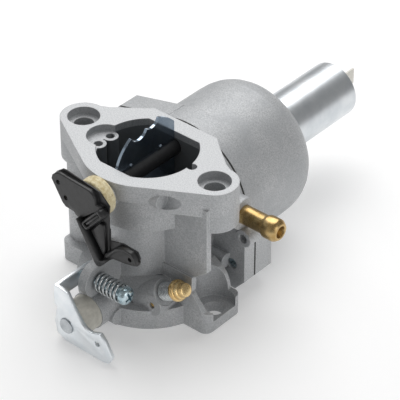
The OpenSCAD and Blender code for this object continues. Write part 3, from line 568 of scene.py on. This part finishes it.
# outlines are (x, z) in mm from the shaft's axis, and depths are in front of the lever's mounting plane
chokeLever = {
    "head": ((-15.3, 2.8), (-14.9, 4.3), (-13.6, 5.6), (-12, 6.3), (-10.7, 6.4), (1.4, 5.5), (2.9, 4.7),
             (3.9, 2.8), (4.1, 1.2), (6.6, 1.2), (4.4, -1.4), (-1.7, -6.6), (-3.9, -7.4), (-5, -7),
             (-5.8, -6.1), (-7.6, -5.9), (-9.4, -5.8), (-10.8, -4.6)),
    "rib": ((-3.7, -6.9), (-2.6, -6.6), (0.1, -9.6), (6.3, -19), (7.6, -18.4), (8.7, -17.4), (9.3, -18.4),
            (7, -21), (6.1, -21.6), (4.9, -21.7), (4, -20.8)),
    "base": ((-2.8, -7.4), (5, -0.4), (8.4, -1.2), (8.6, -15.2), (6.4, -20.6), (5, -21.2)),
    "floor": ((1.7, -9.9), (5.7, -5), (7.4, -5.4), (7.8, -14.8), (6.9, -17.4)),
    "lowerArm": ((6.2, -20.4), (7.4, -16.6), (9.4, -14.8), (12.9, -11.2), (16.4, -9.6), (19.6, -9.8),
                 (21.3, -11.2), (22, -13.4), (21.4, -14.9), (19.8, -15.5), (16.2, -16.3), (11, -17),
                 (8.6, -19)),
    "lowerRim": ((8.3, -16.6), (12.9, -11.2), (16.4, -9.6), (19.6, -9.8), (21.3, -11.2), (22, -13.4),
                 (21.1, -13.6), (20.5, -11.8), (19.1, -10.7), (16.6, -10.6), (13.5, -12.1), (9.2, -16.9)),
    "headHoles": ((-12.2, 2.6, 0.9), (-9.1, -2.1, 0.9)),
    "armHoles": ((18.3, -13.6, 0.8),),
    "keeperEnds": ((0.1, -8.2), (7.2, -0.4)),
    "mountDepth": 4,
}
leverZ = jointPosition("choke_turn").z
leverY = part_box("choke_shaft")[0].y + chokeLever["mountDepth"] * mm


def leverPlate(name, outline, back, front, rounding=0.3):
    plate = cutPlate(name, chokeLever[outline], front - back)
    placePiece(plate, standUp(0, leverY - back * mm, leverZ))
    roundEdges(plate, rounding, 2)
    return plate


def drillLever(plate, holes):
    for x, z, radius in chokeLever[holes]:
        drill = addDrill(radius, 8)
        placePiece(drill, standUp(x * mm, leverY - 1 * mm, leverZ + z * mm))
        cutAway(plate, drill)


# the shaft itself keeps the CAD shape, cut off where the lever starts
shaft = softenNode("choke_shaft", "chokeShaft", 0.15)
makeActive(shaft)
bpy.ops.object.mode_set(mode="EDIT")
bpy.ops.mesh.select_all(action="SELECT")
bpy.ops.mesh.bisect(plane_co=(0, leverY - 0.4 * mm, 0), plane_no=(0, -1, 0), use_fill=True, clear_outer=True)
bpy.ops.object.mode_set(mode="OBJECT")
headPlate = leverPlate("leverHead", "head", 0, 2)
lowerArm = leverPlate("leverLowerArm", "lowerArm", 0.5, 2)
drillLever(headPlate, "headHoles")
drillLever(lowerArm, "armHoles")
# keeper across the arm's top, with a long pocket and a bar in it
foot, tipEnd = [Vector((x, 0, z)) for x, z in chokeLever["keeperEnds"]]
across, keeperMiddle = tipEnd - foot, (foot + tipEnd) / 2
keeperPlace = Matrix.Translation((keeperMiddle.x * mm, leverY, leverZ + keeperMiddle.z * mm))
keeperPlace @= Matrix.Rotation(-math.atan2(across.z, across.x), 4, "Y")
keeper = addBlock("leverKeeper", (across.length + 1.6, 3.4, 3.2), (0, -2, 0))
roundEdges(keeper, 0.9, 3)
cutAway(keeper, addBlock("pocketTool", (across.length - 1.4, 2.4, 1.7), (0.2, -4, 0)))
keeperBar = addBlock("leverKeeperBar", (across.length - 2.4, 0.9, 0.9), (0.2, -3.1, 0.1))
roundEdges(keeperBar, 0.3, 2)
for piece in (keeper, keeperBar):
    placePiece(piece, keeperPlace)
lever = joinPieces([
    shaft, headPlate, lowerArm, keeper, keeperBar,
    leverPlate("leverBase", "base", 0, 0.8, 0.2),
    leverPlate("leverFloor", "floor", 0.5, 2.2, 0.4),
    leverPlate("leverRib", "rib", 0, 3.6, 0.35),
    leverPlate("leverRim", "lowerRim", 0.6, 3, 0.3),
], "chokeShaftLever")
smoothByAngle(lever, 35)
finishPiece(lever, "choke", finish["blackNylon"], "choke_shaft")

throttleLever = {"edgeRounding": 0.25}
lever = softenNode("throttle_lever", "throttleLever", throttleLever["edgeRounding"])
smoothByAngle(lever, 35)
finishPiece(lever, "throttle", finish["whiteZincSheet"], "throttle_lever")

# brass plug with a slightly domed end
low, middle, size = nodeBox("passage_plugs")
outline = [(0, 0), (0.45, 0.03), (0.8, 0.16), (size.x / 2, 0.4), (size.x / 2, size.y), (0, size.y)]
plug = turnOnLathe("passagePlug", outline, 32)
placePiece(plug, alongY(middle.x, low.y, middle.z))
smoothByAngle(plug, 40)
finishPiece(plug, "casting", finish["turnedBrass"], "passage_plugs")
print("levers and plug made")

# finishes of the CAD shapes that stay
nodeFinishes = {
    "body": "castBody", "float_bowl": "castBowl", "bowl_gasket": "gasketPaper", "solenoid_can": "satinPlateCan",
    "solenoid_washer": "turnedBrass", "solenoid_plunger": "machinedSteel", "solenoid_spring": "springWire",
    "solenoid_terminal": "paleNylon", "main_nozzle": "turnedBrass", "main_jet": "turnedBrass",
    "float": "floatPlastic", "float_pin": "machinedSteel", "float_needle": "machinedSteel",
    "needle_seat": "turnedBrass", "pilot_jet": "turnedBrass", "choke_plate": "mirrorZincStrip",
    "throttle_shaft": "machinedSteel", "throttle_plate": "paleBrass", "throttle_screws": "zincPlate",
    "throttle_bush": "bushNylon", "welch_plug": "castBowl",
}
for node, name in nodeFinishes.items():
    for slot in frame["nodes"][node].material_slots:
        slot.material = finish[name]
print("CAD shapes finished")

# the floor glows a little, so that shadows on it stay faint
floorLook = {"colour": "#EAEAEA", "glow": 0.25, "size": 20.0, "drop": 0.0002}
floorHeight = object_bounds()[0].z - floorLook["drop"]
deselectAll()
bpy.ops.mesh.primitive_plane_add(size=floorLook["size"], location=(0, 0, floorHeight))
floor = bpy.context.active_object
floor.name = "floor"
floorMaterial, tree, place = startMaterial("paperFloor")
finishMaterial(tree, Base_Color=floorLook["colour"], Roughness=0.9, Emission_Color="#FFFFFF",
               Emission_Strength=floorLook["glow"])
floor.data.materials.append(floorMaterial)

skyStrength = 0.27
world = bpy.data.worlds.new("studio")
bpy.context.scene.world = world
world.use_nodes = True
world.node_tree.nodes["Background"].inputs["Color"].default_value = linear("#FFFFFF")
world.node_tree.nodes["Background"].inputs["Strength"].default_value = skyStrength

# target and distance are in mm, angles in degrees
view = {"target": (4.881, 20.354, 26), "azimuth": 40.618, "elevation": 36.099, "distance": 742.351,
        "lens": 197.99}
target = Vector(view["target"]) * mm
lamps = {
    "topSoftbox": {"place": (-0.25, 0.3, 0.7), "size": 0.8, "power": 5.6},
    "frontFill": {"place": (-0.35, -0.7, 0.35), "size": 0.6, "power": 0.35},
    "rightFill": {"place": (0.8, -0.1, 0.3), "size": 0.5, "power": 1.1},
}
for name, lamp in lamps.items():
    light = bpy.data.lights.new(name, "AREA")
    light.shape, light.size, light.energy = "SQUARE", lamp["size"], lamp["power"]
    holder = bpy.data.objects.new(name, light)
    holder.location = lamp["place"]
    holder.rotation_euler = (target - Vector(lamp["place"])).to_track_quat("-Z", "Y").to_euler()
    bpy.context.scene.collection.objects.link(holder)

around, up = math.radians(view["azimuth"]), math.radians(view["elevation"])
back = Vector((math.sin(around) * math.cos(up), -math.cos(around) * math.cos(up), math.sin(up)))
camera = bpy.data.objects.new("camera", bpy.data.cameras.new("camera"))
camera.data.lens = view["lens"]
camera.data.sensor_width = 36
camera.data.clip_start, camera.data.clip_end = 0.05, 10
camera.location = target + back * view["distance"] * mm
camera.rotation_euler = (-back).to_track_quat("-Z", "Y").to_euler()
bpy.context.scene.collection.objects.link(camera)
bpy.context.scene.camera = camera
bpy.context.scene.view_settings.view_transform = "Standard"
print("stage, lights and camera set")
